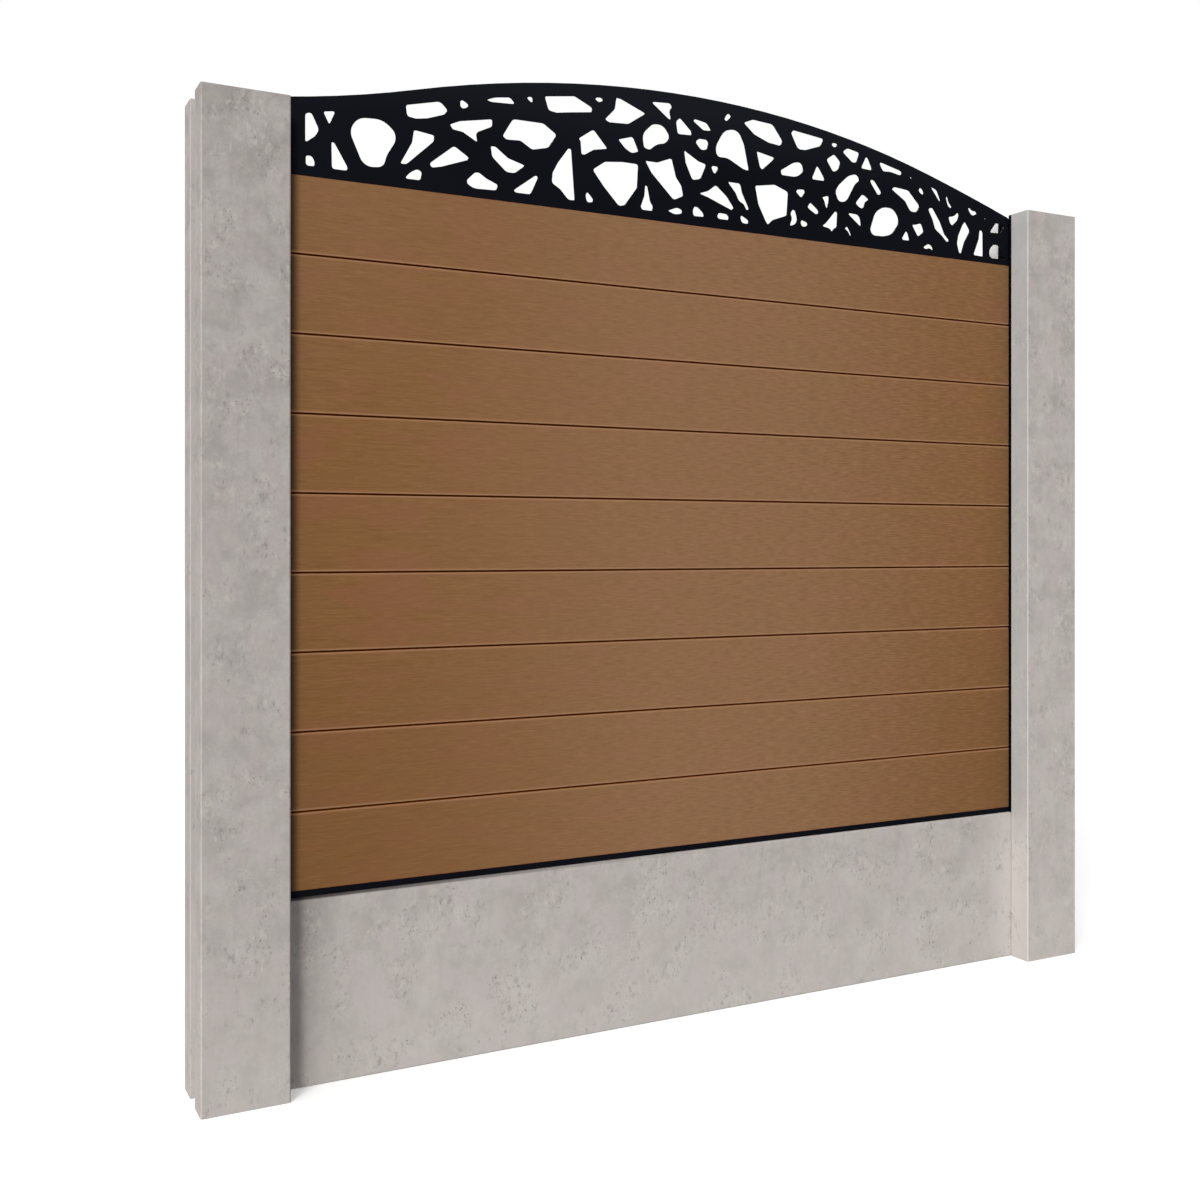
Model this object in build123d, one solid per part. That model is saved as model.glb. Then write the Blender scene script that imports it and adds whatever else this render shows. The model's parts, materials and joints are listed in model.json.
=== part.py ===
from build123d import *
import os
from math import radians, tan

# One bay of a composite fence: two slotted concrete posts, a concrete gravel board, hollow
# tongue-and-groove boards held by aluminium rails and channels, and a pierced arched topper sheet.
# Millimetres. X runs along the fence, the front faces -Y, and Z is up from the ground.

# Posts
CLEAR_SPAN = 1800.0  # between the facing sides of the two posts
POST_WIDTH = 160.0  # along the fence
POST_DEPTH = 160.0
POST_HEIGHT = 1840.0
POST_ARRIS = 2.5  # chamfer of the upright edges
SLOT_DEPTH = 25.0
SLOT_ARRIS = 1.0  # chamfer of the slot's mouth

# Gravel board
GRAVEL_HEIGHT = 356.0
GRAVEL_THICKNESS = 44.0
GRAVEL_ARRIS = 2.0
GRAVEL_PLAY = 1.0  # to each side of the slot
GRAVEL_END_GAP = 5.0  # to the floor of the slot

# Boards
BOARD_COUNT = 9
BOARD_PITCH = 150.0
BOARD_THICKNESS = 28.0
BOARD_ARRIS = 1.0
BOARD_WALL = 5.0
BOARD_CHAMBERS = 4
JOINT_REVEAL = 3.0  # open shadow joint between two boards
TONGUE_WIDTH = 8.0
TONGUE_HEIGHT = 9.0
TONGUE_ARRIS = 1.5
TONGUE_PLAY = 0.5
END_GAP = 4.0  # room to expand at each end of boards, rails and topper

# Rails and channels
RAIL_WALL = 2.0
BOTTOM_RAIL_HOLLOW = 8.0  # height of the bottom rail's chamber
TOP_RAIL_WEB = 2.5  # metal over the top board's tongue
CHANNEL_WALL = 2.0
CHANNEL_WEB = 3.0  # behind the pocket
CHANNEL_PLAY = 0.5  # to each side of the slot
POCKET_PLAY = 0.5  # to each face of the boards

# Topper sheet, with heights counted from the top of the boards
SHEET_THICKNESS = 3.0
SHEET_PLAY = 0.2
SHEET_FLOOR = 3.0  # metal of the top rail under the sheet
SHEET_LIP = 1.5  # metal of the top rail in front of the sheet
TOPPER_PEAK = 281.5
TOPPER_FLEX_HEIGHT = 196.5  # where the crown of the upper edge turns into its two ends
TOPPER_LEFT_HEIGHT = 143.0  # at the left post, where the edge runs out flatter
TOPPER_RIGHT_HEIGHT = 119.0
FLARE_RUN = 260.0  # length of each end
TAB_STEP = 1.5  # the tabs in the channels stop this far below the sheet's lower end
EDGE_WEB = 10.0  # least metal left between a cut-out and the sheet's edge
PACKER_WALL = 2.0

# Fixings of the channels
SCREWS_PER_CHANNEL = 2
SCREW_RADIUS = 2.5
SCREW_BITE = 35.0  # length in the post
SCREW_LAND = 0.8  # metal of the channel's web left under the countersunk head
SCREW_PLAY = 0.1
HOLE_SPARE = 5.0  # depth of the post's hole beyond the screw

# Cut-outs of the topper, each by its corners: (steps from the pattern's middle, steps over the boards).
# Pebbles are worn round, shards have pointed ends and blunt rounded corners, and chips are plain.
PEBBLES = [
    [(-782, 98), (-763, 126), (-715, 129), (-682, 102), (-706, 62), (-714, 36), (-753, 32)],
    [(-144, 182), (-117, 208), (-92, 208), (-75, 186), (-87, 169), (-108, 165), (-126, 150), (-140, 153)],
    [(-546, 29), (-520, 55), (-500, 42), (-474, 32), (-479, 20), (-528, 18)],
    [(-13, 183), (-2, 192), (23, 192), (17, 170), (2, 167)],
    [(39, 180), (62, 220), (98, 226), (114, 196), (127, 137), (110, 140), (70, 159), (42, 158)],
    [(211, 150), (248, 173), (268, 176), (275, 156), (254, 140), (213, 140)],
    [(362, 120), (371, 136), (400, 162), (424, 169), (434, 156), (420, 146), (395, 102), (372, 97)],
    [(458, 31), (477, 86), (501, 101), (532, 102), (552, 74), (527, 39), (500, 32)],
    [(830, 14), (829, 36), (845, 49), (861, 48), (869, 26), (880, 18), (877, 14)],
]
SHARDS = [
    [(-866, 118), (-854, 122), (-839, 91), (-848, 77), (-866, 63)],
    [(-652, 118), (-610, 113), (-611, 101), (-655, 60), (-668, 48), (-680, 48), (-656, 92)],
    [(-669, 164), (-597, 182), (-582, 167), (-589, 157), (-625, 144), (-648, 140), (-666, 142)],
    [(-620, 56), (-568, 98), (-537, 79), (-541, 73), (-595, 53), (-616, 48)],
    [(-578, 139), (-556, 149), (-487, 163), (-487, 148), (-522, 131), (-519, 111), (-551, 128), (-572, 130)],
    [(-465, 132), (-442, 170), (-374, 171), (-344, 152), (-364, 122), (-400, 113), (-426, 128), (-457, 126)],
    [(-372, 227), (-303, 238), (-262, 220), (-264, 210), (-310, 203), (-345, 197), (-363, 199)],
    [(-491, 108), (-480, 109), (-452, 89), (-415, 79), (-439, 60), (-457, 60), (-488, 87)],
    [(-318, 127), (-311, 127), (-303, 21), (-318, 20), (-337, 40), (-356, 51), (-354, 72), (-342, 94)],
    [(-294, 151), (-259, 175), (-226, 139), (-260, 132), (-281, 119), (-288, 119), (-290, 145)],
    [(-233, 200), (-210, 224), (-206, 250), (-195, 249), (-135, 227), (-178, 198), (-224, 195)],
    [(-202, 162), (-166, 173), (-152, 143), (-170, 137), (-186, 146)],
    [(-61, 221), (-50, 230), (-22, 205), (-22, 196), (-57, 194)],
    [(-148, 26), (-139, 50), (-137, 73), (-131, 73), (-124, 40), (-117, 30), (-120, 20), (-144, 20)],
    [(-262, 90), (-232, 111), (-190, 116), (-153, 116), (-156, 66), (-186, 25), (-200, 21), (-236, 58)],
    [(-137, 126), (-106, 126), (-71, 140), (-60, 100), (-47, 84), (-42, 62), (-67, 50), (-122, 102)],
    [(-41, 162), (-3, 142), (16, 138), (1, 104), (-20, 99), (-37, 134)],
    [(-18, 228), (-12, 233), (17, 229), (29, 213), (8, 211)],
    [(-3, 72), (20, 80), (41, 96), (69, 74), (87, 51), (80, 45), (20, 66)],
    [(70, 107), (104, 107), (109, 87), (127, 53), (120, 49), (112, 62), (99, 68), (91, 84)],
    [(112, 243), (138, 254), (190, 251), (217, 217), (210, 205), (178, 208), (140, 221)],
    [(146, 185), (194, 177), (190, 170), (161, 145), (155, 150)],
    [(142, 107), (196, 116), (232, 104), (228, 50), (190, 36), (176, 23), (170, 31), (151, 66)],
    [(239, 238), (246, 246), (330, 238), (321, 220), (278, 205), (258, 204)],
    [(337, 191), (360, 207), (378, 191), (371, 172), (356, 165)],
    [(383, 215), (398, 226), (432, 220), (423, 196), (411, 194)],
    [(526, 146), (535, 153), (577, 150), (611, 117), (602, 100), (582, 100), (566, 123)],
    [(636, 112), (650, 118), (674, 86), (688, 57), (703, 44), (695, 38), (677, 54), (658, 66), (650, 88)],
    [(752, 96), (768, 74), (750, 45), (740, 16), (733, 16), (726, 38), (730, 58), (743, 85)],
    [(798, 80), (809, 78), (810, 15), (778, 16), (795, 56)],
]
CHIPS = [
    [(-832, 127), (-808, 131), (-820, 103)],
    [(-865, 39), (-854, 40), (-848, 31), (-848, 20), (-865, 20)],
    [(-816, 71), (-810, 71), (-784, 27), (-786, 20), (-815, 20)],
    [(-671, 20), (-661, 32), (-645, 42), (-635, 37), (-639, 20)],
    [(-556, 189), (-550, 192), (-538, 185), (-540, 179), (-550, 174), (-556, 178)],
    [(-500, 200), (-480, 208), (-448, 213), (-439, 204), (-441, 200), (-490, 197)],
    [(-412, 217), (-406, 221), (-399, 221), (-398, 213), (-402, 209)],
    [(-441, 25), (-391, 62), (-386, 59), (-402, 24), (-407, 21), (-437, 21)],
    [(-279, 34), (-274, 43), (-260, 29), (-262, 22), (-275, 20)],
    [(-257, 239), (-250, 244), (-240, 244), (-237, 239), (-247, 233)],
    [(-120, 252), (-115, 255), (-75, 258), (-70, 251), (-77, 242), (-73, 224), (-78, 222)],
    [(-82, 25), (-57, 35), (-45, 31), (-46, 23), (-64, 19)],
    [(-19, 35), (-14, 42), (-6, 42), (8, 31), (10, 22), (-18, 21)],
    [(28, 132), (32, 137), (45, 137), (46, 132), (39, 121), (34, 121)],
    [(43, 28), (48, 36), (69, 35), (74, 29), (72, 22), (46, 22)],
    [(61, 242), (67, 254), (75, 258), (80, 252), (68, 240)],
    [(103, 32), (107, 37), (125, 28), (125, 22), (121, 19), (107, 20)],
    [(237, 55), (243, 65), (251, 65), (257, 44), (251, 33), (235, 27), (242, 45)],
    [(252, 107), (258, 113), (276, 115), (278, 109), (267, 94)],
    [(265, 37), (268, 45), (284, 41), (285, 35), (278, 30), (269, 30)],
    [(284, 76), (293, 88), (314, 73), (316, 67), (309, 61), (290, 71)],
    [(296, 141), (310, 172), (315, 172), (332, 148), (331, 141)],
    [(325, 103), (344, 109), (345, 100), (340, 80), (336, 80), (331, 96)],
    [(325, 37), (335, 44), (362, 75), (369, 74), (367, 39), (357, 34), (354, 26), (345, 34)],
    [(351, 228), (358, 233), (369, 232), (366, 225), (358, 222)],
    [(389, 38), (395, 44), (400, 41), (409, 24), (404, 23), (398, 33)],
    [(399, 73), (405, 76), (427, 75), (434, 68), (437, 49), (431, 50)],
    [(420, 101), (438, 122), (445, 123), (460, 114), (448, 107), (445, 94), (437, 90), (428, 94)],
    [(436, 184), (450, 212), (456, 212), (468, 189), (466, 183)],
    [(462, 157), (468, 162), (476, 160), (496, 136), (494, 131), (485, 127)],
    [(490, 202), (495, 206), (555, 193), (557, 187), (551, 182), (520, 187), (500, 185)],
    [(557, 34), (569, 52), (574, 50), (580, 34), (577, 30), (559, 30)],
    [(580, 180), (586, 183), (587, 178)],
    [(587, 69), (601, 71), (616, 76), (624, 56), (605, 42)],
    [(607, 154), (612, 161), (619, 158), (624, 149), (619, 144), (611, 148)],
    [(621, 19), (638, 29), (648, 25), (652, 17), (648, 14), (641, 19), (628, 15)],
    [(645, 165), (650, 166), (664, 161), (675, 137), (671, 134), (661, 146)],
    [(691, 146), (695, 151), (698, 146), (701, 136), (711, 126), (706, 122), (697, 127)],
    [(699, 101), (715, 103), (730, 115), (733, 109), (728, 95), (711, 80), (704, 86)],
    [(761, 128), (766, 131), (776, 124), (787, 124), (790, 118), (776, 112), (768, 116)],
    [(813, 108), (817, 111), (819, 107)],
    [(831, 77), (851, 103), (880, 99), (866, 78)],
]
PATTERN_STEP = 1.0  # length of one step of the corners
PATTERN_MIDDLE = 9.5  # to the right of the fence's middle
PEBBLE_RADIUS = 40.0
SHARD_RADIUS = 14.0
SHARD_POINT = 115.0  # corners of a shard up to this angle stay pointed, in degrees
STRAIGHT_LEFT = 3.0  # least straight run between two rounded corners

# Places along the fence, from its middle
post_face = CLEAR_SPAN / 2
slot_floor = post_face + SLOT_DEPTH
pocket_floor = slot_floor - CHANNEL_WEB
infill_end = pocket_floor - END_GAP
gravel_end = slot_floor - GRAVEL_END_GAP

# Widths across the fence
slot_width = GRAVEL_THICKNESS + 2 * GRAVEL_PLAY
channel_width = slot_width - 2 * CHANNEL_PLAY
pocket_width = BOARD_THICKNESS + 2 * POCKET_PLAY
groove_width = TONGUE_WIDTH + 2 * TONGUE_PLAY
board_front = -BOARD_THICKNESS / 2
sheet_front = board_front + SHEET_LIP + SHEET_PLAY
sheet_back = sheet_front + SHEET_THICKNESS

# Heights over the ground
boards_base = GRAVEL_HEIGHT + BOTTOM_RAIL_HOLLOW + 2 * RAIL_WALL
board_body = BOARD_PITCH - JOINT_REVEAL
groove_depth = TONGUE_HEIGHT - JOINT_REVEAL
boards_top = boards_base + BOARD_COUNT * BOARD_PITCH - JOINT_REVEAL
top_rail_height = TONGUE_HEIGHT + TONGUE_PLAY + TOP_RAIL_WEB
top_rail_top = boards_top + top_rail_height
tab_height = min(TOPPER_LEFT_HEIGHT, TOPPER_RIGHT_HEIGHT) - TAB_STEP

# Countersunk head of the channel screws, cut at 45 degrees
head_height = CHANNEL_WEB - SCREW_LAND
head_radius = SCREW_RADIUS + head_height


def box(x, y, z):
    """Upright block between two limits on each axis."""
    size = [high - low for low, high in (x, y, z)]
    return Pos(x[0], y[0], z[0]) * Box(*size, align=(Align.MIN, Align.MIN, Align.MIN))


def run_along_fence(section, half_length):
    """Extrude a section drawn in (y, z) from end to end of the panel."""
    return extrude(Plane.YZ.offset(-half_length) * section, 2 * half_length, dir=(1, 0, 0))


def rod(radius, start, end, z):
    """Round bar along X, through the middle of the posts."""
    return extrude(Plane.YZ.offset(start) * Pos(0, z) * Circle(radius), end - start, dir=(1, 0, 0))


def screw_heights():
    """Heights of the fixings, spread evenly over one channel."""
    step = (POST_HEIGHT - GRAVEL_HEIGHT) / SCREWS_PER_CHANNEL
    return [GRAVEL_HEIGHT + step * (i + 0.5) for i in range(SCREWS_PER_CHANNEL)]


def slot_outline(mouth, floor):
    """Plan of one post slot with its chamfered mouth."""
    inward = 1 if floor > mouth else -1
    half = slot_width / 2
    upper = [
        (mouth, half + SLOT_ARRIS),
        (mouth + inward * SLOT_ARRIS, half),
        (floor, half),
    ]
    lower = [(x, -y) for x, y in reversed(upper)]
    return make_face(Polyline(*upper, *lower, close=True))


def make_right_post():
    """H-section concrete post with blind holes for the channel's screws."""
    outer_face = post_face + POST_WIDTH
    plan = Pos(post_face + POST_WIDTH / 2, 0) * Rectangle(POST_WIDTH, POST_DEPTH)
    plan = chamfer(plan.vertices(), POST_ARRIS)
    plan -= slot_outline(post_face, slot_floor)
    plan -= slot_outline(outer_face, outer_face - SLOT_DEPTH)
    post = extrude(plan, POST_HEIGHT, dir=(0, 0, 1))
    for z in screw_heights():
        post -= rod(SCREW_RADIUS + SCREW_PLAY, slot_floor, slot_floor + SCREW_BITE + HOLE_SPARE, z)
    return post


def make_gravel_board():
    """Concrete plank with chamfered long edges."""
    section = Pos(0, GRAVEL_HEIGHT / 2) * Rectangle(GRAVEL_THICKNESS, GRAVEL_HEIGHT)
    section = chamfer(section.vertices(), GRAVEL_ARRIS)
    return run_along_fence(section, gravel_end)


def make_bottom_rail():
    """Hollow starter rail whose rib enters the bottom board's groove."""
    half = BOARD_THICKNESS / 2
    rib_top = boards_base + groove_depth - TONGUE_PLAY
    body = box((-infill_end, infill_end), (-half, half), (GRAVEL_HEIGHT, boards_base))
    rib = box((-infill_end, infill_end), (-TONGUE_WIDTH / 2, TONGUE_WIDTH / 2), (boards_base, rib_top))
    hollow = box(
        (-infill_end, infill_end),
        (RAIL_WALL - half, half - RAIL_WALL),
        (GRAVEL_HEIGHT + RAIL_WALL, boards_base - RAIL_WALL),
    )
    return body + rib - hollow


def board_section():
    """Section of one board, (y, z) from the middle of its lower edge."""
    half = BOARD_THICKNESS / 2
    tongue = TONGUE_WIDTH / 2
    tip = board_body + TONGUE_HEIGHT
    front = [
        (-groove_width / 2, groove_depth),
        (-groove_width / 2, 0),
        (BOARD_ARRIS - half, 0),
        (-half, BOARD_ARRIS),
        (-half, board_body - BOARD_ARRIS),
        (BOARD_ARRIS - half, board_body),
        (-tongue, board_body),
        (-tongue, tip - TONGUE_ARRIS),
        (TONGUE_ARRIS - tongue, tip),
    ]
    back = [(-y, z) for y, z in reversed(front)]
    section = make_face(Polyline(*front, *back, close=True))
    lowest = groove_depth + BOARD_WALL
    pitch = (board_body - lowest) / BOARD_CHAMBERS
    for i in range(BOARD_CHAMBERS):
        middle = lowest + (i + 0.5) * pitch - BOARD_WALL / 2
        section -= Pos(0, middle) * Rectangle(BOARD_THICKNESS - 2 * BOARD_WALL, pitch - BOARD_WALL)
    return section


def make_top_rail():
    """Cap rail: a groove below for the top board's tongue, one above for the topper sheet."""
    half = BOARD_THICKNESS / 2
    length = (-infill_end, infill_end)
    groove_top = top_rail_top - TOP_RAIL_WEB
    sheet_base = boards_top + SHEET_FLOOR
    rail = box(length, (-half, half), (boards_top, top_rail_top))
    rail -= box(length, (-groove_width / 2, groove_width / 2), (boards_top, groove_top))
    rail -= box(length, (sheet_front - SHEET_PLAY, sheet_back + SHEET_PLAY), (sheet_base, top_rail_top))
    rail -= box(
        length,
        (groove_width / 2 + RAIL_WALL, half - RAIL_WALL),
        (boards_top + RAIL_WALL, top_rail_top - RAIL_WALL),
    )
    return rail


def make_right_channel():
    """Extruded liner of the post slot: a pocket for the boards between two hollow sides."""
    height = (GRAVEL_HEIGHT, POST_HEIGHT)
    pocket = pocket_width / 2
    outer = channel_width / 2
    channel = box((post_face, slot_floor), (-outer, outer), height)
    channel -= box((post_face, pocket_floor), (-pocket, pocket), height)
    for side in (-1, 1):
        across = sorted((side * (pocket + CHANNEL_WALL), side * (outer - CHANNEL_WALL)))
        channel -= box((post_face + CHANNEL_WALL, slot_floor - CHANNEL_WALL), across, height)
    for z in screw_heights():
        channel -= screw_solid(z, SCREW_PLAY)
    return channel


def screw_solid(z, play):
    """Countersunk screw from the pocket's floor into the post, grown by a clearance."""
    head = Cone(head_radius + play, SCREW_RADIUS + play, head_height)
    head = Pos(pocket_floor + head_height / 2, 0, z) * Rot(0, 90, 0) * head
    return head + rod(SCREW_RADIUS + play, pocket_floor + head_height, slot_floor + SCREW_BITE, z)


def sheet_outline():
    """Outer edge of the topper sheet: an arch that runs out into two ends, with a tab in each channel."""
    left_flex, right_flex = [(side * (post_face - FLARE_RUN), TOPPER_FLEX_HEIGHT) for side in (-1, 1)]
    left_end = (-post_face, TOPPER_LEFT_HEIGHT)
    right_end = (post_face, TOPPER_RIGHT_HEIGHT)
    crown = ThreePointArc(left_flex, (0, TOPPER_PEAK), right_flex)
    left_flare = TangentArc(left_flex, left_end, tangent=-(crown % 0))
    right_flare = TangentArc(right_flex, right_end, tangent=crown % 1)
    right_tab = [(post_face, tab_height), (infill_end, tab_height), (infill_end, SHEET_FLOOR)]
    left_tab = [(-x, z) for x, z in reversed(right_tab)]
    lower = Polyline(right_end, *right_tab, *left_tab, left_end)
    return Wire([crown.edge(), right_flare.edge(), *lower.edges(), left_flare.edge()])


def fits_sheet(corners, sheet):
    """Whether a cut-out clears the top rail and the posts and leaves enough metal at the edge."""
    for x, z in corners:
        if abs(x) > post_face - EDGE_WEB or z < top_rail_height or not sheet.is_inside((x, z)):
            return False
    return min(sheet.outer_wire().distance_to(Vertex(*corner)) for corner in corners) >= EDGE_WEB


def rounded_outline(corners, radius, pointed_angle):
    """Closed outline with its corners rounded as far as their sides allow, apart from pointed ones."""
    radii = []
    for i, corner in enumerate(corners):
        back = Vector(corners[i - 1]) - Vector(corner)
        ahead = Vector(corners[(i + 1) % len(corners)]) - Vector(corner)
        angle = back.get_angle(ahead)
        reach = (min(back.length, ahead.length) - STRAIGHT_LEFT) / 2
        widest = reach * tan(radians(angle / 2))
        radii.append(min(radius, widest) if angle > pointed_angle else 0)
    return FilletPolyline(*corners, radius=radii, close=True).wire()


def cut_outs(sheet):
    """Outlines of all cut-outs that fit the sheet."""
    outlines = []
    for holes, radius, pointed_angle in (
        (PEBBLES, PEBBLE_RADIUS, 0),
        (SHARDS, SHARD_RADIUS, SHARD_POINT),
        (CHIPS, 0, 0),
    ):
        for hole in holes:
            corners = [(PATTERN_MIDDLE + PATTERN_STEP * x, PATTERN_STEP * z) for x, z in hole]
            if fits_sheet(corners, sheet):
                outlines.append(rounded_outline(corners, radius, pointed_angle))
    return outlines


def make_topper():
    """Flat arched sheet with the pebble cut-outs, standing in the top rail's groove."""
    outline = sheet_outline()
    sheet = Plane.XZ * Face(outline, cut_outs(Face(outline)))
    return Pos(0, sheet_front, boards_top) * extrude(sheet, SHEET_THICKNESS, dir=(0, 1, 0))


def make_right_packer():
    """Hollow strip that fills the channel's pocket behind the sheet's tab."""
    low = sheet_back + SHEET_PLAY
    high = pocket_width / 2 - SHEET_PLAY
    height = (top_rail_top, boards_top + tab_height)
    packer = box((post_face, infill_end), (low, high), height)
    packer -= box(
        (post_face + PACKER_WALL, infill_end - PACKER_WALL),
        (low + PACKER_WALL, high - PACKER_WALL),
        height,
    )
    return packer


def both_sides(solids):
    """A group of pieces on the right and their mirror images on the left."""
    return Compound([*solids, *(mirror(solid, about=Plane.YZ) for solid in solids)])


os.makedirs("parts", exist_ok=True)

right_pieces = {
    "post": make_right_post(),
    "channel": make_right_channel(),
    "packer": make_right_packer(),
}
for name, piece in right_pieces.items():
    export_step(piece, f"parts/right_{name}.step")
    export_step(mirror(piece, about=Plane.YZ), f"parts/left_{name}.step")

board = run_along_fence(board_section(), infill_end)
for number in range(1, BOARD_COUNT + 1):
    lift = boards_base + (number - 1) * BOARD_PITCH
    export_step(Pos(0, 0, lift) * board, f"parts/board_{number}.step")

export_step(make_gravel_board(), "parts/gravel_board.step")
export_step(make_bottom_rail(), "parts/bottom_rail.step")
export_step(make_top_rail(), "parts/top_rail.step")
export_step(make_topper(), "parts/topper.step")
export_step(both_sides([screw_solid(z, 0) for z in screw_heights()]), "parts/channel_screws.step")
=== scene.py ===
"""Looks of the composite fence bay: finishes, floor, light and camera around the fixed solids."""
import json
from math import radians

import bmesh
import bpy
from mathutils import Matrix, Vector


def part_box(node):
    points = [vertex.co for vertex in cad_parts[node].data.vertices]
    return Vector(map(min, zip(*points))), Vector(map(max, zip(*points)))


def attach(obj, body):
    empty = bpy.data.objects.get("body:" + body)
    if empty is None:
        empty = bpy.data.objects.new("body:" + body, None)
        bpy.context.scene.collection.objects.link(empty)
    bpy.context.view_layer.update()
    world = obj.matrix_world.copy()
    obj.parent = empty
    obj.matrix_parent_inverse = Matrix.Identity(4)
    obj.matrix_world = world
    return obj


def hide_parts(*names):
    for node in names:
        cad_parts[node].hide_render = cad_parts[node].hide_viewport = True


# Camera, in metres and degrees, and the shift that the picture's framing needs
CAMERA_PLACE = (-1.506, -2.557, 1.015)
CAMERA_TURN = -27.8
CAMERA_LENS = 40.63
CAMERA_SHIFT = (-0.025, -0.0442)
SENSOR_WIDTH = 36.0

# Floor and backdrop
WHITE = (1.0, 1.0, 1.0, 1.0)
FLOOR_SIZE = 60.0
FLOOR_DROP = 0.0005
FLOOR_COLOUR = (0.9, 0.9, 0.9)
FLOOR_ROUGHNESS = 0.9
FLOOR_GLOW = 0.20  # added for the camera, so that the floor meets the backdrop without a line
FLOOR_RETURN = 0.40  # light that the floor sends back to the fence
AMBIENT = 0.36  # light that the surroundings send to the fence

# Suns: each one's turn is to the left of straight in front, its lift over the horizon, in degrees
SUNS = [
    # name, what it lights, what shades it, turn, lift, width of its disc, strength
    ("key_on_concrete", "concrete", "scene", 33.0, 24.0, 14.0, 1.26),
    ("key_on_panel", "panel", "scene", 22.5, 24.0, 14.0, 2.385),
    ("key_on_floor", "floor", "posts", 44.0, 24.0, 22.0, 2.60),
    ("soft_on_floor", "floor", "posts", 50.0, 45.0, 90.0, 1.40),
    ("wide_on_concrete", "concrete", "scene", 55.0, 30.0, 45.0, 2.36),
    ("back", "fence", "scene", 180.0, 35.0, 20.0, 2.10),
    ("right", "fence", "scene", 260.0, 32.0, 16.0, 1.90),
]

# Narrow light from behind on the right post, seen through the last cut-outs
RIM_PLACE = (-0.40, 0.27, 1.86)
RIM_AIM = (0.90, 0.05, 1.79)
RIM_CONE = 9.0
RIM_BLEND = 1.0
RIM_POWER = 70.0

# In all finishes: colours are linear. A noise is its scale, detail and roughness. A span is the range of a
# value over which an effect comes in and, where that isn't from 0 to 1, the effect at the range's two ends.
# A relief is its depth in metres and its strength.

# Concrete: colours that each casting makes lighter or darker by its shade, and fixed ones
CONCRETE = {
    "light": (0.490, 0.457, 0.432),
    "dark": (0.366, 0.335, 0.316),
    "pink": (0.462, 0.402, 0.392),
    "sand": (0.452, 0.415, 0.362),
    "pit": (0.22, 0.20, 0.19),
    "speck": (0.57, 0.54, 0.47),
}
CONCRETE_SHADES = {"left_post": 0.86, "right_post": 0.955, "gravel_board": 0.905}
# painted light: paler concrete where bounce light would fall
CONCRETE_PAINTED_LIGHT = (0.570, 0.525, 0.495)
# painted cooler tone against the brown light that the boards throw
CONCRETE_PAINTED_COOL = (0.457, 0.472, 0.472)
# painted shadow
CONCRETE_PAINTED_SHADOW = (0.05, 0.045, 0.042)
CONCRETE_ROUGHNESS = (0.3, 0.7, 0.85, 0.95)
CONCRETE_SPECULAR = 0.15

# Concrete: clouds, tints, stains that run down, mottling and grit
CLOUD_NOISE = (14.0, 7.0, 0.66)
CLOUD_SPAN = (0.34, 0.66)
PINK_NOISE = (19.0, 4.0, 0.55)
PINK_SHIFT = (3.0, 0.0, 1.0)
PINK_SPAN = (0.48, 0.64, 0.0, 0.9)
SAND_NOISE = (24.0, 4.0, 0.55)
SAND_SHIFT = (0.0, 5.0, 2.0)
SAND_SPAN = (0.52, 0.68, 0.0, 0.6)
STAIN_NOISE = (1.0, 3.0, 0.6)
STAIN_STRETCH = (70.0, 70.0, 7.0)
STAIN_SPAN = (0.5, 0.72, 0.0, 0.35)
MOTTLE_NOISE = (1.0, 4.0, 0.7)
MOTTLE_STRETCH = (60.0, 60.0, 38.0)
MOTTLE_DARK = (0.52, 0.70, 0.0, 0.6)
MOTTLE_LIGHT = (0.48, 0.32, 0.0, 0.5)
GRIT_NOISE = (220.0, 3.0, 0.7)
GRIT_SPAN = (0.35, 0.75, 0.0, 0.35)

# Concrete: patches in which pale specks, pits and dark points show, and the relief
PATCH_NOISE = (13.0, 3.0, 0.65)
PATCH_SPAN = (0.46, 0.62)
SPOT_NOISE = (105.0, 4.0, 0.62)
SPOT_STRETCH = (1.0, 1.0, 0.65)
SPECK_SPAN = (0.48, 0.34)
SPECK_STRENGTH = 0.58
PIT_SPAN = (0.54, 0.70)
PIT_STRENGTH = 0.42
PIT_RELIEF = (0.0008, 0.5)
POINT_NOISE = (210.0, 2.0, 0.5)
POINT_STRETCH = (1.0, 1.0, 0.8)
POINT_SHIFT = (2.0, 1.0, 0.0)
POINT_SPAN = (0.63, 0.72)
POINT_STRENGTH = 0.78
SKIN_NOISE = (300.0, 4.0, 0.7)
SKIN_RELIEF = (0.0005, 0.4)

# Concrete: painted light and shade that belong to a place, with depths behind the faces in metres
GROUND_PAINTED_LIGHT = 0.20  # painted light, lighter toward the ground, from the posts' tops down
FOOT_PAINTED_LIGHT = 0.22  # more painted light added to it from the gravel board's top down
CORNER_PAINTED_LIGHT = 0.72  # painted light where the gravel board meets the right post
CORNER_FIELD = 0.15  # reach of that corner
CORNER_DEPTH = 0.006  # depth in the post at which the corner's painted light ends
TONE_DEPTH = 0.001  # depth in the post to which a tone holds in full
SIDE_PAINTED_COOL = 0.5  # painted cooler tone, against the brown light from the boards, on the right post's side toward the bay
SIDE_DEPTH = 0.004  # depth at which the side's tone ends
SIDE_LEAD = 0.0005  # in front of the side, so that the tone holds on it
# painted light on the slot walls, which the front flanges shade
SLOT_PAINTED_LIGHT = 0.6
SLOT_DEPTH = 0.0255  # of the posts' outer slots, with a little to spare
SLOT_HALF = 0.0245  # half of their width, with a little to spare
# painted shadow of the post and rail on the gravel board's ledge
LEDGE_PAINTED_SHADOW = 0.95
LEDGE_START = 0.2  # place along the gravel board where the painted shadow sets in toward the left
LEDGE_DEPTH = 0.006  # below the gravel board's top, where the painted shadow ends
LEDGE_FULL = 0.002  # below the gravel board's top, to where it is full
LEDGE_SPARE = 0.0003  # beyond the gravel board's faces

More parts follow.
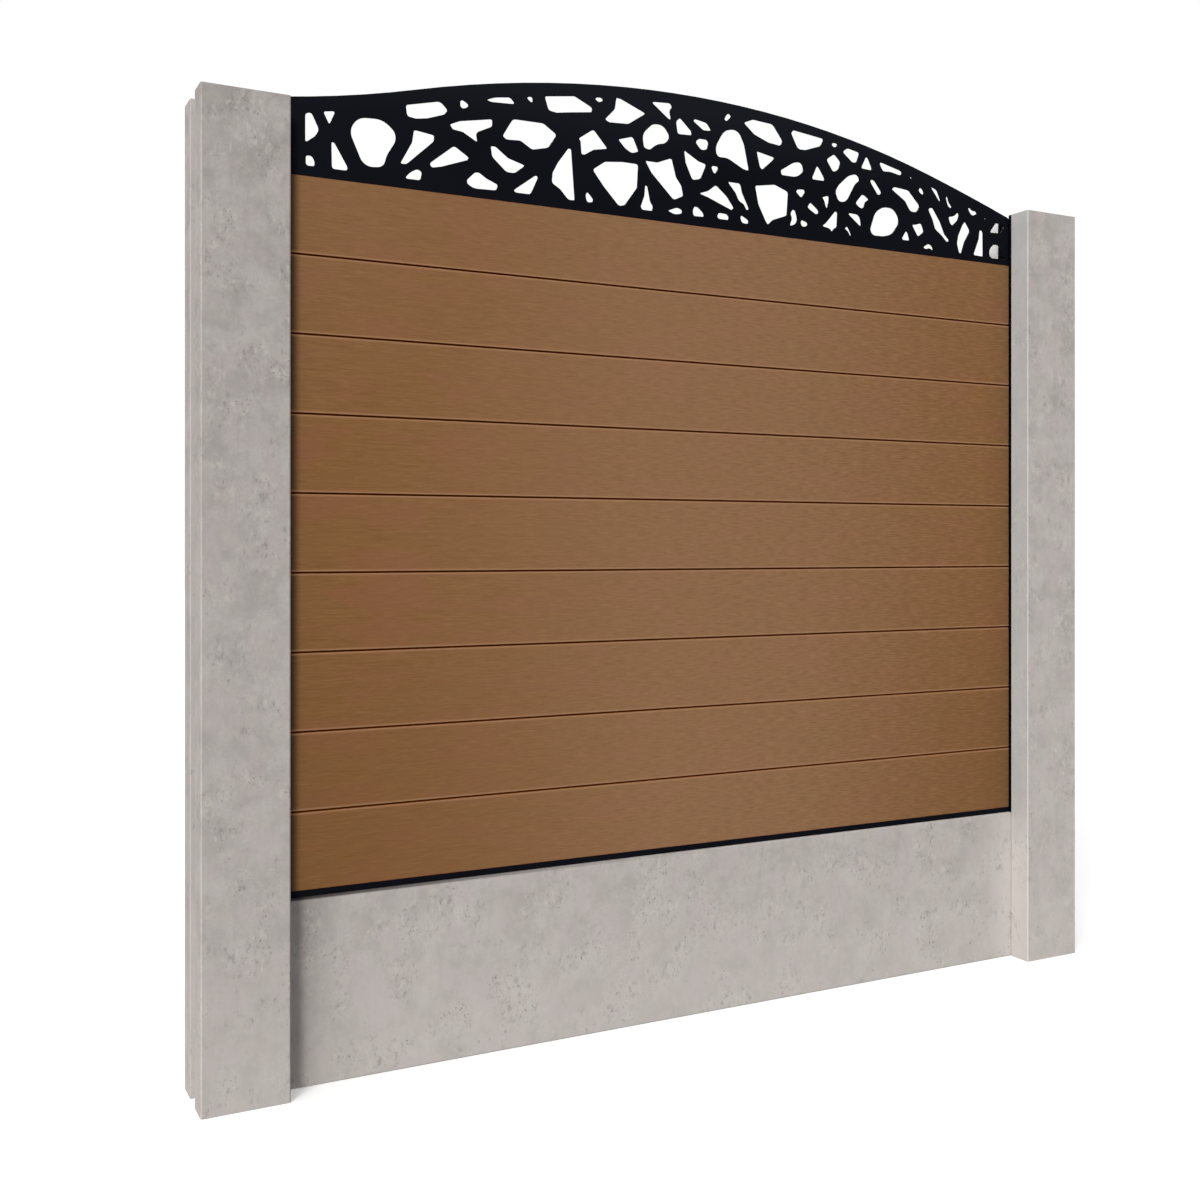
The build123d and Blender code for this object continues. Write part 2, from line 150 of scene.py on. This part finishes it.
# Composite boards: colours
BOARD_LIGHT = (0.243, 0.119, 0.043)
BOARD_DARK = (0.188, 0.087, 0.030)
BOARD_RED = (0.231, 0.098, 0.044)
BOARD_OLIVE = (0.208, 0.104, 0.037)
BOARD_GRAIN = (0.126, 0.059, 0.022)
# painted sheen, greyer where a light would reflect
BOARD_PAINTED_SHEEN = (0.280, 0.154, 0.084)
BOARD_LOW = (0.160, 0.074, 0.025)
# painted shadow at the boards' ends
BOARD_END_SHADOW = (0.060, 0.042, 0.028)
# painted highlight along the boards' edges and painted glints in the grain
BOARD_HIGHLIGHT = (0.350, 0.192, 0.103)
BOARD_JOINT = (0.205, 0.046, 0.0)
BOARD_ROUGHNESS = (0.2, 0.8, 0.62, 0.78)
BOARD_SPECULAR = 0.08

# Composite boards: fields of tone, streaks, and grain with painted glints, along the boards
FIELD_NOISE = (1.0, 3.0, 0.5)
FIELD_STRETCH = (5.0, 5.0, 16.0)
RED_SPAN = (0.49, 0.61, 0.0, 0.80)
OLIVE_SPAN = (0.49, 0.37, 0.0, 0.60)
STREAK_NOISE = (1.0, 5.0, 0.65)
STREAK_STRETCH = (14.0, 90.0, 260.0)
STREAK_SPAN = (0.25, 0.75)
STREAK_RELIEF = (0.0009, 0.35)
GRAIN_NOISE = (1.0, 2.0, 0.6)
GRAIN_STRETCH = (34.0, 220.0, 420.0)
GRAIN_LINES = (0.40, 0.70, 0.0, 0.40)
GRAIN_PAINTED_GLINTS = (0.46, 0.30, 0.0, 0.22)
GRAIN_CLEAR = (-0.6, 0.8, 0.5, 1.05)  # clearer toward the boards' right ends
GRAIN_RELIEF = (0.0006, 0.4)

# Composite boards: spans along (x) and up (z) the fence, in metres, of the painted sheen, the low tone and
# the painted shadow at the ends, and the boards' edges with their painted highlight
MIDDLE_LEFT = (-0.88, 0.0)
MIDDLE_RIGHT = (1.05, 0.20)
MIDDLE_SHEEN = 0.65
HIGH_SHEEN = (1.1, 1.7, 0.0, 0.26)
LOW_SPAN = (1.1, 0.4)
LOW_STRENGTH = 0.4
# painted shadow at the ends: deep at the left beside the post, faint at the right
LEFT_END_SHADOW = (-0.864, -0.888, 0.0, 0.85)
RIGHT_END_SHADOW = (0.80, 0.92, 0.0, 0.25)
BOARD_FACE = 0.147  # height of a board's face between two joints
HIGHLIGHT_BAND = 0.006  # height of the painted highlight along a board's edges
HIGHLIGHT_STRENGTH = 0.9
JOINT_START = 0.0003  # behind the boards' faces

# Black powder coat
COAT = (0.0036, 0.0040, 0.0062)
# painted sheen toward the top of the fence
COAT_PAINTED_SHEEN = (0.0080, 0.0092, 0.0125)
COAT_LIFT = 1.3  # of the lighter clouds
COAT_CLOUDS = (4.0, 2.0, 0.55)
COAT_CLOUD_SPAN = (0.3, 0.7)
COAT_WAVER = 0.04  # by which the clouds shift the painted sheen at the top
COAT_SHEEN_SPAN = (1.83, 2.01)  # of the painted sheen, up the fence
COAT_NOISE = (900.0, 2.0, 0.6)
COAT_RELIEF = (0.0002, 0.25)
COAT_ROUGHNESS = (0.3, 0.7, 0.48, 0.60)
COAT_SPECULAR = 0.03

# Zinc-plated steel
STEEL = (0.55, 0.55, 0.56)
STEEL_DARK = 0.8
STEEL_NOISE = (300.0, 4.0, 0.55)
STEEL_SPAN = (0.3, 0.7)
STEEL_ROUGHNESS = (0.0, 1.0, 0.35, 0.5)

# Corners of the sheet's cut-outs
CORNER_REACH = 0.006  # most that a rounding takes from each side of a corner
CORNER_SHARE = 0.4  # and most of each side's length
CORNER_STEPS = 5
CORNER_TURN = 12.0  # smaller turns are left as they are, in degrees
FRONT_FACING = -0.9  # a front face's normal along y is below this
SAME_DIGITS = 6  # to which corners of neighbouring faces agree
WELD_REACH = 1e-6

# Sockets of a Mix node for colours
MIX_FACTOR = 0
MIX_FIRST = 6
MIX_SECOND = 7
MIX_RESULT = 2

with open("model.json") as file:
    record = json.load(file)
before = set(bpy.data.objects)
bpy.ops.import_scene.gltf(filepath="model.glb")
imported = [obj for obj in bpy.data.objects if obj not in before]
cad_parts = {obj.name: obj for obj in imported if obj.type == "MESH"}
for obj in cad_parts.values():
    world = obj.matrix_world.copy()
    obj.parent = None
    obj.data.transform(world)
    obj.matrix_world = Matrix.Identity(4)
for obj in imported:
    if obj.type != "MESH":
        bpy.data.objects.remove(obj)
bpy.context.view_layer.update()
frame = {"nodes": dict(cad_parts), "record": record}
nodes = frame["nodes"]
slot_of = {part["node"]: part["material_slot"] for part in frame["record"]["subparts"]}


class Shader:
    """A material's node tree with short calls to add and join nodes."""

    def __init__(self, name):
        self.material = bpy.data.materials.new(name)
        self.material.use_nodes = True
        self.tree = self.material.node_tree
        self.surface = self.tree.nodes["Principled BSDF"]

    def add(self, kind, **settings):
        """New node with its properties set."""
        node = self.tree.nodes.new(kind)
        for key, value in settings.items():
            setattr(node, key, value)
        return node

    def join(self, source, target):
        """Link an output socket, or set a number or colour, at an input socket."""
        if isinstance(source, bpy.types.NodeSocket):
            self.tree.links.new(source, target)
        elif isinstance(source, tuple):
            target.default_value = (*source, 1.0)
        else:
            target.default_value = source

    def place(self, scale=(1.0, 1.0, 1.0), shift=(0.0, 0.0, 0.0)):
        """Object coordinates, stretched and shifted along each axis."""
        coordinates = self.add("ShaderNodeTexCoord")
        mapping = self.add("ShaderNodeMapping")
        mapping.inputs["Scale"].default_value = scale
        mapping.inputs["Location"].default_value = shift
        self.join(coordinates.outputs["Object"], mapping.inputs["Vector"])
        return mapping.outputs["Vector"]

    def axis(self, name):
        """One of the object coordinates X, Y and Z."""
        coordinates = self.add("ShaderNodeTexCoord")
        split = self.add("ShaderNodeSeparateXYZ")
        self.join(coordinates.outputs["Object"], split.inputs["Vector"])
        return split.outputs[name]

    def noise(self, vector, scale, detail, roughness):
        """Noise value along a vector."""
        noise = self.add("ShaderNodeTexNoise")
        self.join(vector, noise.inputs["Vector"])
        for name, value in (("Scale", scale), ("Detail", detail), ("Roughness", roughness)):
            noise.inputs[name].default_value = value
        return noise.outputs["Fac"]

    def ramp(self, value, low, high, start=0.0, end=1.0):
        """Smooth change from start to end as a value goes from low to high."""
        ramp = self.add("ShaderNodeMapRange", interpolation_type="SMOOTHSTEP")
        for name, setting in (("From Min", low), ("From Max", high), ("To Min", start), ("To Max", end)):
            ramp.inputs[name].default_value = setting
        self.join(value, ramp.inputs["Value"])
        return ramp.outputs["Result"]

    def math(self, operation, *values):
        """Arithmetic on values, each a socket or a number."""
        node = self.add("ShaderNodeMath", operation=operation)
        for socket, value in zip(node.inputs, values):
            self.join(value, socket)
        return node.outputs["Value"]

    def times(self, first, second):
        """Product of two values."""
        return self.math("MULTIPLY", first, second)

    def mix(self, factor, first, second):
        """Colour between two colours, each a socket or a triple."""
        node = self.add("ShaderNodeMix", data_type="RGBA")
        self.join(factor, node.inputs[MIX_FACTOR])
        self.join(first, node.inputs[MIX_FIRST])
        self.join(second, node.inputs[MIX_SECOND])
        return node.outputs[MIX_RESULT]

    def bump(self, height, distance, strength, normal=None):
        """Relief from a height value, in metres."""
        node = self.add("ShaderNodeBump")
        node.inputs["Distance"].default_value = distance
        node.inputs["Strength"].default_value = strength
        self.join(height, node.inputs["Height"])
        if normal is not None:
            self.join(normal, node.inputs["Normal"])
        return node.outputs["Normal"]

    def finish(self, colour, roughness, normal=None, specular=0.5, metallic=0.0):
        """Join the results to the surface."""
        inputs = self.surface.inputs
        self.join(colour, inputs["Base Color"])
        self.join(roughness, inputs["Roughness"])
        if normal is not None:
            self.join(normal, inputs["Normal"])
        inputs["Specular IOR Level"].default_value = specular
        inputs["Metallic"].default_value = metallic
        return self.material


def shaded(colour, factor):
    """A colour made lighter or darker."""
    return tuple(factor * value for value in colour)


def outer_slot_light(shader):
    """Strength of the painted light in the slots on the outer sides of the posts."""
    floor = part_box("right_post")[1].x - SLOT_DEPTH
    outside = shader.math("GREATER_THAN", shader.math("ABSOLUTE", shader.axis("X")), floor)
    between = shader.math("LESS_THAN", shader.math("ABSOLUTE", shader.axis("Y")), SLOT_HALF)
    return shader.times(shader.times(outside, between), SLOT_PAINTED_LIGHT)


def painted_light_fields(shader):
    """Strength of the painted light on the concrete: toward the ground, by the right post's foot and in the
    outer slots.
    """
    x = shader.axis("X")
    z = shader.axis("Z")
    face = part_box("right_post")[0].x
    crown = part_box("right_post")[1].z
    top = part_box("gravel_board")[1].z
    ground = shader.ramp(z, crown, 0.0, 0.0, GROUND_PAINTED_LIGHT)
    low = shader.math("ADD", ground, shader.ramp(z, top, 0.0, 0.0, FOOT_PAINTED_LIGHT))
    inner = shader.ramp(x, face + CORNER_DEPTH, face + TONE_DEPTH)
    near = shader.times(shader.ramp(x, face - CORNER_FIELD, face), inner)
    corner = shader.times(near, shader.ramp(z, top + CORNER_FIELD, top - CORNER_FIELD, 0.0, CORNER_PAINTED_LIGHT))
    return shader.math("MAXIMUM", low, shader.math("MAXIMUM", corner, outer_slot_light(shader)))


def painted_bay_cool(shader):
    """Strength of the painted cooler tone, against the brown light from the boards, on the right post's side
    toward the bay, above the corner's painted light.
    """
    x = shader.axis("X")
    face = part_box("right_post")[0].x
    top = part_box("gravel_board")[1].z
    beyond = shader.math("GREATER_THAN", x, face - SIDE_LEAD)
    near = shader.times(beyond, shader.ramp(x, face + SIDE_DEPTH, face + TONE_DEPTH))
    above = shader.ramp(shader.axis("Z"), top - CORNER_FIELD, top + CORNER_FIELD, 0.0, SIDE_PAINTED_COOL)
    return shader.times(near, above)


def ledge_shadow(shader):
    """Strength of the painted shadow on the gravel board's ledge in front of the rail, more to the left."""
    low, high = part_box("gravel_board")
    top = shader.ramp(shader.axis("Z"), high.z - LEDGE_DEPTH, high.z - LEDGE_FULL)
    inside = shader.math("LESS_THAN", shader.math("ABSOLUTE", shader.axis("Y")), high.y + LEDGE_SPARE)
    ledge = shader.times(top, shader.ramp(shader.axis("X"), LEDGE_START, low.x, 0.0, LEDGE_PAINTED_SHADOW))
    return shader.times(ledge, inside)


def concrete_ground(shader, tones, grit):
    """Colour of soft clouds with faint tints, stains and mottling."""
    clouds = shader.ramp(shader.noise(shader.place(), *CLOUD_NOISE), *CLOUD_SPAN)
    pink = shader.noise(shader.place(shift=PINK_SHIFT), *PINK_NOISE)
    sand = shader.noise(shader.place(shift=SAND_SHIFT), *SAND_NOISE)
    stains = shader.noise(shader.place(STAIN_STRETCH), *STAIN_NOISE)
    mottle = shader.noise(shader.place(MOTTLE_STRETCH), *MOTTLE_NOISE)
    layers = [
        (pink, PINK_SPAN, "pink"),
        (sand, SAND_SPAN, "sand"),
        (stains, STAIN_SPAN, "dark"),
        (mottle, MOTTLE_DARK, "dark"),
        (mottle, MOTTLE_LIGHT, "light"),
        (grit, GRIT_SPAN, "dark"),
    ]
    colour = shader.mix(clouds, tones["dark"], tones["light"])
    for value, span, tone in layers:
        colour = shader.mix(shader.ramp(value, *span), colour, tones[tone])
    return colour


def concrete_marks(shader):
    """Strengths of the pale specks, the pits and the dark points, which come in patches."""
    patches = shader.ramp(shader.noise(shader.place(), *PATCH_NOISE), *PATCH_SPAN)
    spots = shader.noise(shader.place(SPOT_STRETCH), *SPOT_NOISE)
    points = shader.noise(shader.place(POINT_STRETCH, POINT_SHIFT), *POINT_NOISE)
    marks = ((spots, SPECK_SPAN), (spots, PIT_SPAN), (points, POINT_SPAN))
    return [shader.times(shader.ramp(value, *span), patches) for value, span in marks]


def concrete_material(name, shade):
    """Cast concrete with a shade of its own: clouds and marks, and painted light and shade that belong to a
    place.
    """
    shader = Shader(name)
    tones = {tone: shaded(colour, shade) for tone, colour in CONCRETE.items()}
    grit = shader.noise(shader.place(), *GRIT_NOISE)
    specks, pits, points = concrete_marks(shader)
    colour = concrete_ground(shader, tones, grit)
    # painted light toward the ground, in the corner by the right post's foot and in the outer slots
    colour = shader.mix(painted_light_fields(shader), colour, CONCRETE_PAINTED_LIGHT)
    colour = shader.mix(shader.times(specks, SPECK_STRENGTH), colour, tones["speck"])
    colour = shader.mix(shader.times(pits, PIT_STRENGTH), colour, tones["pit"])
    colour = shader.mix(shader.times(points, POINT_STRENGTH), colour, tones["pit"])
    # painted cooler tone on the right post's side, against the boards' brown bounce light
    colour = shader.mix(painted_bay_cool(shader), colour, CONCRETE_PAINTED_COOL)
    # painted shadow on the gravel board's ledge
    colour = shader.mix(ledge_shadow(shader), colour, CONCRETE_PAINTED_SHADOW)
    relief = shader.bump(shader.times(pits, -1.0), *PIT_RELIEF)
    relief = shader.bump(shader.noise(shader.place(), *SKIN_NOISE), *SKIN_RELIEF, relief)
    return shader.finish(colour, shader.ramp(grit, *CONCRETE_ROUGHNESS), relief, CONCRETE_SPECULAR)


def board_ground(shader, streaks):
    """Colour of the streaks over warm and olive fields."""
    fields = shader.noise(shader.place(FIELD_STRETCH), *FIELD_NOISE)
    colour = shader.mix(shader.ramp(streaks, *STREAK_SPAN), BOARD_DARK, BOARD_LIGHT)
    colour = shader.mix(shader.ramp(fields, *RED_SPAN), colour, BOARD_RED)
    return shader.mix(shader.ramp(fields, *OLIVE_SPAN), colour, BOARD_OLIVE)


def board_tones(shader, colour):
    """Colour with a painted sheen in the middle and up the fence, deeper low at the sides, and painted
    shadow at the ends.
    """
    x = shader.axis("X")
    z = shader.axis("Z")
    middle = shader.times(shader.ramp(x, *MIDDLE_LEFT), shader.ramp(x, *MIDDLE_RIGHT))
    sheen = shader.math("MAXIMUM", shader.times(middle, MIDDLE_SHEEN), shader.ramp(z, *HIGH_SHEEN))
    # painted sheen in the middle and up the fence
    colour = shader.mix(sheen, colour, BOARD_PAINTED_SHEEN)
    low = shader.times(shader.ramp(z, *LOW_SPAN), shader.math("SUBTRACT", 1.0, middle))
    colour = shader.mix(shader.times(low, LOW_STRENGTH), colour, BOARD_LOW)
    # painted shadow at the boards' ends beside the posts
    ends = shader.math("MAXIMUM", shader.ramp(x, *LEFT_END_SHADOW), shader.ramp(x, *RIGHT_END_SHADOW))
    return shader.mix(ends, colour, BOARD_END_SHADOW)


def board_grain(shader, colour, grain):
    """Colour with fine dark lines and painted glints."""
    clear = shader.ramp(shader.axis("X"), *GRAIN_CLEAR)
    for span, tone in ((GRAIN_LINES, BOARD_GRAIN), (GRAIN_PAINTED_GLINTS, BOARD_HIGHLIGHT)):
        colour = shader.mix(shader.times(shader.ramp(grain, *span), clear), colour, tone)
    return colour


def board_edge_highlights(shader):
    """Strength of the painted highlight along the upper and lower edge of each board's face."""
    height = shader.axis("Z")
    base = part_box("board_1")[0].z
    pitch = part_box("board_2")[0].z - base
    rise = shader.math("MODULO", shader.math("SUBTRACT", height, base), pitch)
    lower = shader.ramp(rise, HIGHLIGHT_BAND, 0.0)
    upper = shader.ramp(rise, BOARD_FACE - HIGHLIGHT_BAND, BOARD_FACE)
    inside = shader.math("LESS_THAN", height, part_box("top_rail")[0].z - pitch / 2)
    lower = shader.times(lower, shader.math("GREATER_THAN", height, base + pitch / 2))
    return shader.math("MAXIMUM", lower, shader.times(upper, inside))


def board_joints(shader, colour):
    """Colour with the painted highlights along the edges and, behind the faces, the dark joints."""
    # painted highlight along the boards' edges
    colour = shader.mix(shader.times(board_edge_highlights(shader), HIGHLIGHT_STRENGTH), colour, BOARD_HIGHLIGHT)
    face = -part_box("board_1")[0].y
    depth = shader.math("SUBTRACT", face, shader.math("ABSOLUTE", shader.axis("Y")))
    return shader.mix(shader.ramp(depth, JOINT_START, 2.0 * JOINT_START), colour, BOARD_JOINT)


def board_material():
    """Brushed wood-plastic composite: fine streaks along the board over warm and olive fields, with painted
    sheen, glints and highlights and painted shadow at the ends.
    """
    shader = Shader("brushed_composite")
    streaks = shader.noise(shader.place(STREAK_STRETCH), *STREAK_NOISE)
    grain = shader.noise(shader.place(GRAIN_STRETCH), *GRAIN_NOISE)
    colour = board_tones(shader, board_ground(shader, streaks))
    colour = board_joints(shader, board_grain(shader, colour, grain))
    relief = shader.bump(streaks, *STREAK_RELIEF)
    relief = shader.bump(grain, *GRAIN_RELIEF, relief)
    return shader.finish(colour, shader.ramp(streaks, *BOARD_ROUGHNESS), relief, BOARD_SPECULAR)


def coat_material():
    """Fine-textured black powder coat on aluminium, with a painted sheen at the top of the fence."""
    shader = Shader("black_powder_coat")
    texture = shader.noise(shader.place(), *COAT_NOISE)
    clouds = shader.noise(shader.place(), *COAT_CLOUDS)
    colour = shader.mix(shader.ramp(clouds, *COAT_CLOUD_SPAN), COAT, shaded(COAT, COAT_LIFT))
    height = shader.math("ADD", shader.axis("Z"), shader.times(clouds, COAT_WAVER))
    # painted sheen toward the top
    colour = shader.mix(shader.ramp(height, *COAT_SHEEN_SPAN), colour, COAT_PAINTED_SHEEN)
    relief = shader.bump(texture, *COAT_RELIEF)
    return shader.finish(colour, shader.ramp(texture, *COAT_ROUGHNESS), relief, COAT_SPECULAR)


def steel_material():
    """Zinc-plated screw steel."""
    shader = Shader("zinc_plate")
    spangle = shader.ramp(shader.noise(shader.place(), *STEEL_NOISE), *STEEL_SPAN)
    colour = shader.mix(spangle, STEEL, shaded(STEEL, STEEL_DARK))
    return shader.finish(colour, shader.ramp(spangle, *STEEL_ROUGHNESS), metallic=1.0)


def dress_nodes():
    """Give every solid its finish, with a shade of its own for each concrete casting."""
    finishes = {"composite": board_material(), "black_aluminium": coat_material(), "steel": steel_material()}
    for name, node in nodes.items():
        if slot_of[name] == "concrete":
            node.material_slots[0].material = concrete_material(f"cast_{name}", CONCRETE_SHADES[name])
        else:
            node.material_slots[0].material = finishes[slot_of[name]]


def front_sides(mesh):
    """Sides of a sheet's front faces, each a pair of corners (x, z)."""
    sides = set()
    for face in mesh.polygons:
        if face.normal.y < FRONT_FACING:
            places = [mesh.vertices[i].co.xz for i in face.vertices]
            corners = [tuple(round(value, SAME_DIGITS) for value in place) for place in places]
            sides.update(zip(corners, corners[1:] + corners[:1]))
    return sides


def front_loops(mesh):
    """Closed outlines of a sheet's front face, each a list of (x, z)."""
    sides = front_sides(mesh)
    follow = {start: end for start, end in sorted(sides) if (end, start) not in sides}
    loops = []
    while follow:
        start, point = follow.popitem()
        loop = [Vector(start)]
        while point != start:
            loop.append(Vector(point))
            point = follow.pop(point)
        loops.append(loop)
    return loops


def rounded(loop):
    """Outline with its corners rounded by short curves."""
    points = []
    for i, corner in enumerate(loop):
        back = loop[i - 1] - corner
        ahead = loop[(i + 1) % len(loop)] - corner
        if back.angle(-ahead) < radians(CORNER_TURN):
            points.append(corner)
            continue
        start = corner + back.normalized() * min(CORNER_REACH, CORNER_SHARE * back.length)
        end = corner + ahead.normalized() * min(CORNER_REACH, CORNER_SHARE * ahead.length)
        for step in range(CORNER_STEPS + 1):
            t = step / CORNER_STEPS
            points.append((1 - t) ** 2 * start + 2 * t * (1 - t) * corner + t ** 2 * end)
    return points


def sheet_curve(loops, thickness):
    """Flat filled curve with an outline and cut-outs, extruded to a thickness."""
    edge = max(loops, key=lambda loop: max(point.x for point in loop))
    curve = bpy.data.curves.new("topper_outline", "CURVE")
    curve.dimensions = "2D"
    curve.fill_mode = "BOTH"
    curve.extrude = thickness / 2
    for loop in loops:
        points = loop if loop is edge else rounded(loop)
        spline = curve.splines.new("POLY")
        spline.points.add(len(points) - 1)
        spline.use_cyclic_u = True
        spline.use_smooth = False
        for slot, point in zip(spline.points, points):
            slot.co = (point.x, point.y, 0.0, 1.0)
    return curve


def weld(mesh):
    """Join the faces of a mesh where they meet."""
    work = bmesh.new()
    work.from_mesh(mesh)
    bmesh.ops.remove_doubles(work, verts=work.verts, dist=WELD_REACH)
    bmesh.ops.recalc_face_normals(work, faces=work.faces)
    work.to_mesh(mesh)
    work.free()


def sheet_mesh(low, high):
    """Mesh of the topper with rounded corners, upright between two depths."""
    curve = sheet_curve(front_loops(nodes["topper"].data), high.y - low.y)
    drawing = bpy.data.objects.new("topper_outline", curve)
    bpy.context.scene.collection.objects.link(drawing)
    mesh = bpy.data.meshes.new_from_object(drawing)
    bpy.data.objects.remove(drawing)
    upright = Matrix.Rotation(radians(90.0), 4, "X")
    mesh.transform(Matrix.Translation((0.0, (low.y + high.y) / 2, 0.0)) @ upright)
    weld(mesh)
    return mesh


def add_sheet():
    """The topper sheet with the small corner roundings that the cutting beam leaves."""
    low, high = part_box("topper")
    mesh = sheet_mesh(low, high)
    mesh.materials.clear()
    mesh.materials.append(nodes["topper"].material_slots[0].material)
    sheet = bpy.data.objects.new("topper_sheet", mesh)
    bpy.context.scene.collection.objects.link(sheet)
    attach(sheet, "root")
    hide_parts("topper")
    return sheet


def show_apart(tree, lighting, seen, output):
    """Give the camera one shader and all other rays another."""
    path = tree.nodes.new("ShaderNodeLightPath")
    mix = tree.nodes.new("ShaderNodeMixShader")
    tree.links.new(path.outputs["Is Camera Ray"], mix.inputs[0])
    tree.links.new(lighting, mix.inputs[1])
    tree.links.new(seen, mix.inputs[2])
    tree.links.new(mix.outputs["Shader"], tree.nodes[output].inputs["Surface"])


def add_floor():
    """White studio floor, plain to the camera apart from the shade where the fence meets it."""
    bpy.ops.mesh.primitive_plane_add(size=FLOOR_SIZE, location=(0.0, 0.0, -FLOOR_DROP))
    floor = bpy.context.object
    floor.name = "studio_floor"
    shader = Shader("studio_white")
    shader.finish(FLOOR_COLOUR, FLOOR_ROUGHNESS, specular=0.0)
    shader.surface.inputs["Emission Color"].default_value = WHITE
    shader.surface.inputs["Emission Strength"].default_value = FLOOR_GLOW
    bounce = shader.add("ShaderNodeEmission")
    bounce.inputs["Strength"].default_value = FLOOR_RETURN
    show_apart(shader.tree, bounce.outputs[0], shader.surface.outputs[0], "Material Output")
    floor.data.materials.append(shader.material)
    return floor


def add_backdrop():
    """Plain white surroundings, with less light on the fence than the camera sees."""
    world = bpy.data.worlds.new("studio")
    bpy.context.scene.world = world
    world.use_nodes = True
    seen = world.node_tree.nodes["Background"]
    ambient = world.node_tree.nodes.new("ShaderNodeBackground")
    for background, strength in ((seen, 1.0), (ambient, AMBIENT)):
        background.inputs["Color"].default_value = WHITE
        background.inputs["Strength"].default_value = strength
    show_apart(world.node_tree, ambient.outputs[0], seen.outputs[0], "World Output")


def light_groups(sheet, floor):
    """Collections that lights are tied to, by name; none stands for the whole scene."""
    concrete = [node for name, node in nodes.items() if slot_of[name] == "concrete"]
    panel = [node for name, node in nodes.items() if slot_of[name] != "concrete"] + [sheet]
    members = {
        "concrete": concrete,
        "panel": panel,
        "fence": concrete + panel,
        "floor": [floor],
        "posts": [nodes["left_post"], nodes["right_post"]],
        "right_post": [nodes["right_post"]],
    }
    groups = {"scene": None}
    for name, pieces in members.items():
        groups[name] = bpy.data.collections.new(name)
        for piece in pieces:
            groups[name].objects.link(piece)
    return groups


def add_lamp(name, kind, strength, lights_up, shaded_by):
    """Lamp tied to what it lights and to what shades it, unseen by the camera."""
    lamp = bpy.data.lights.new(name, kind)
    lamp.energy = strength
    light = bpy.data.objects.new(name, lamp)
    light.visible_camera = False
    light.light_linking.receiver_collection = lights_up
    light.light_linking.blocker_collection = shaded_by
    bpy.context.scene.collection.objects.link(light)
    return light


def aim(light, place, target):
    """Put a lamp at a place and turn it to a target."""
    light.location = place
    light.rotation_euler = (Vector(target) - Vector(place)).to_track_quat("-Z", "Y").to_euler()


def add_lights(groups):
    """Daylight from the front left, fill from behind and from the right, and the right post's own light."""
    for name, lights_up, shaded_by, turn, lift, width, strength in SUNS:
        sun = add_lamp(name, "SUN", strength, groups[lights_up], groups[shaded_by])
        sun.data.angle = radians(width)
        sun.rotation_euler = (radians(90.0 - lift), 0.0, radians(-turn))
    rim = add_lamp("rim", "SPOT", RIM_POWER, groups["right_post"], groups["scene"])
    rim.data.spot_size = radians(RIM_CONE)
    rim.data.spot_blend = RIM_BLEND
    aim(rim, RIM_PLACE, RIM_AIM)


def add_camera():
    """Level camera at the picture's viewing angle."""
    lens = bpy.data.cameras.new("camera")
    lens.lens = CAMERA_LENS
    lens.sensor_width = SENSOR_WIDTH
    lens.shift_x, lens.shift_y = CAMERA_SHIFT
    camera = bpy.data.objects.new("camera", lens)
    camera.location = CAMERA_PLACE
    camera.rotation_euler = (radians(90.0), 0.0, radians(CAMERA_TURN))
    bpy.context.scene.collection.objects.link(camera)
    bpy.context.scene.camera = camera


dress_nodes()
add_lights(light_groups(add_sheet(), add_floor()))
add_backdrop()
add_camera()
bpy.context.scene.view_settings.view_transform = "Standard"
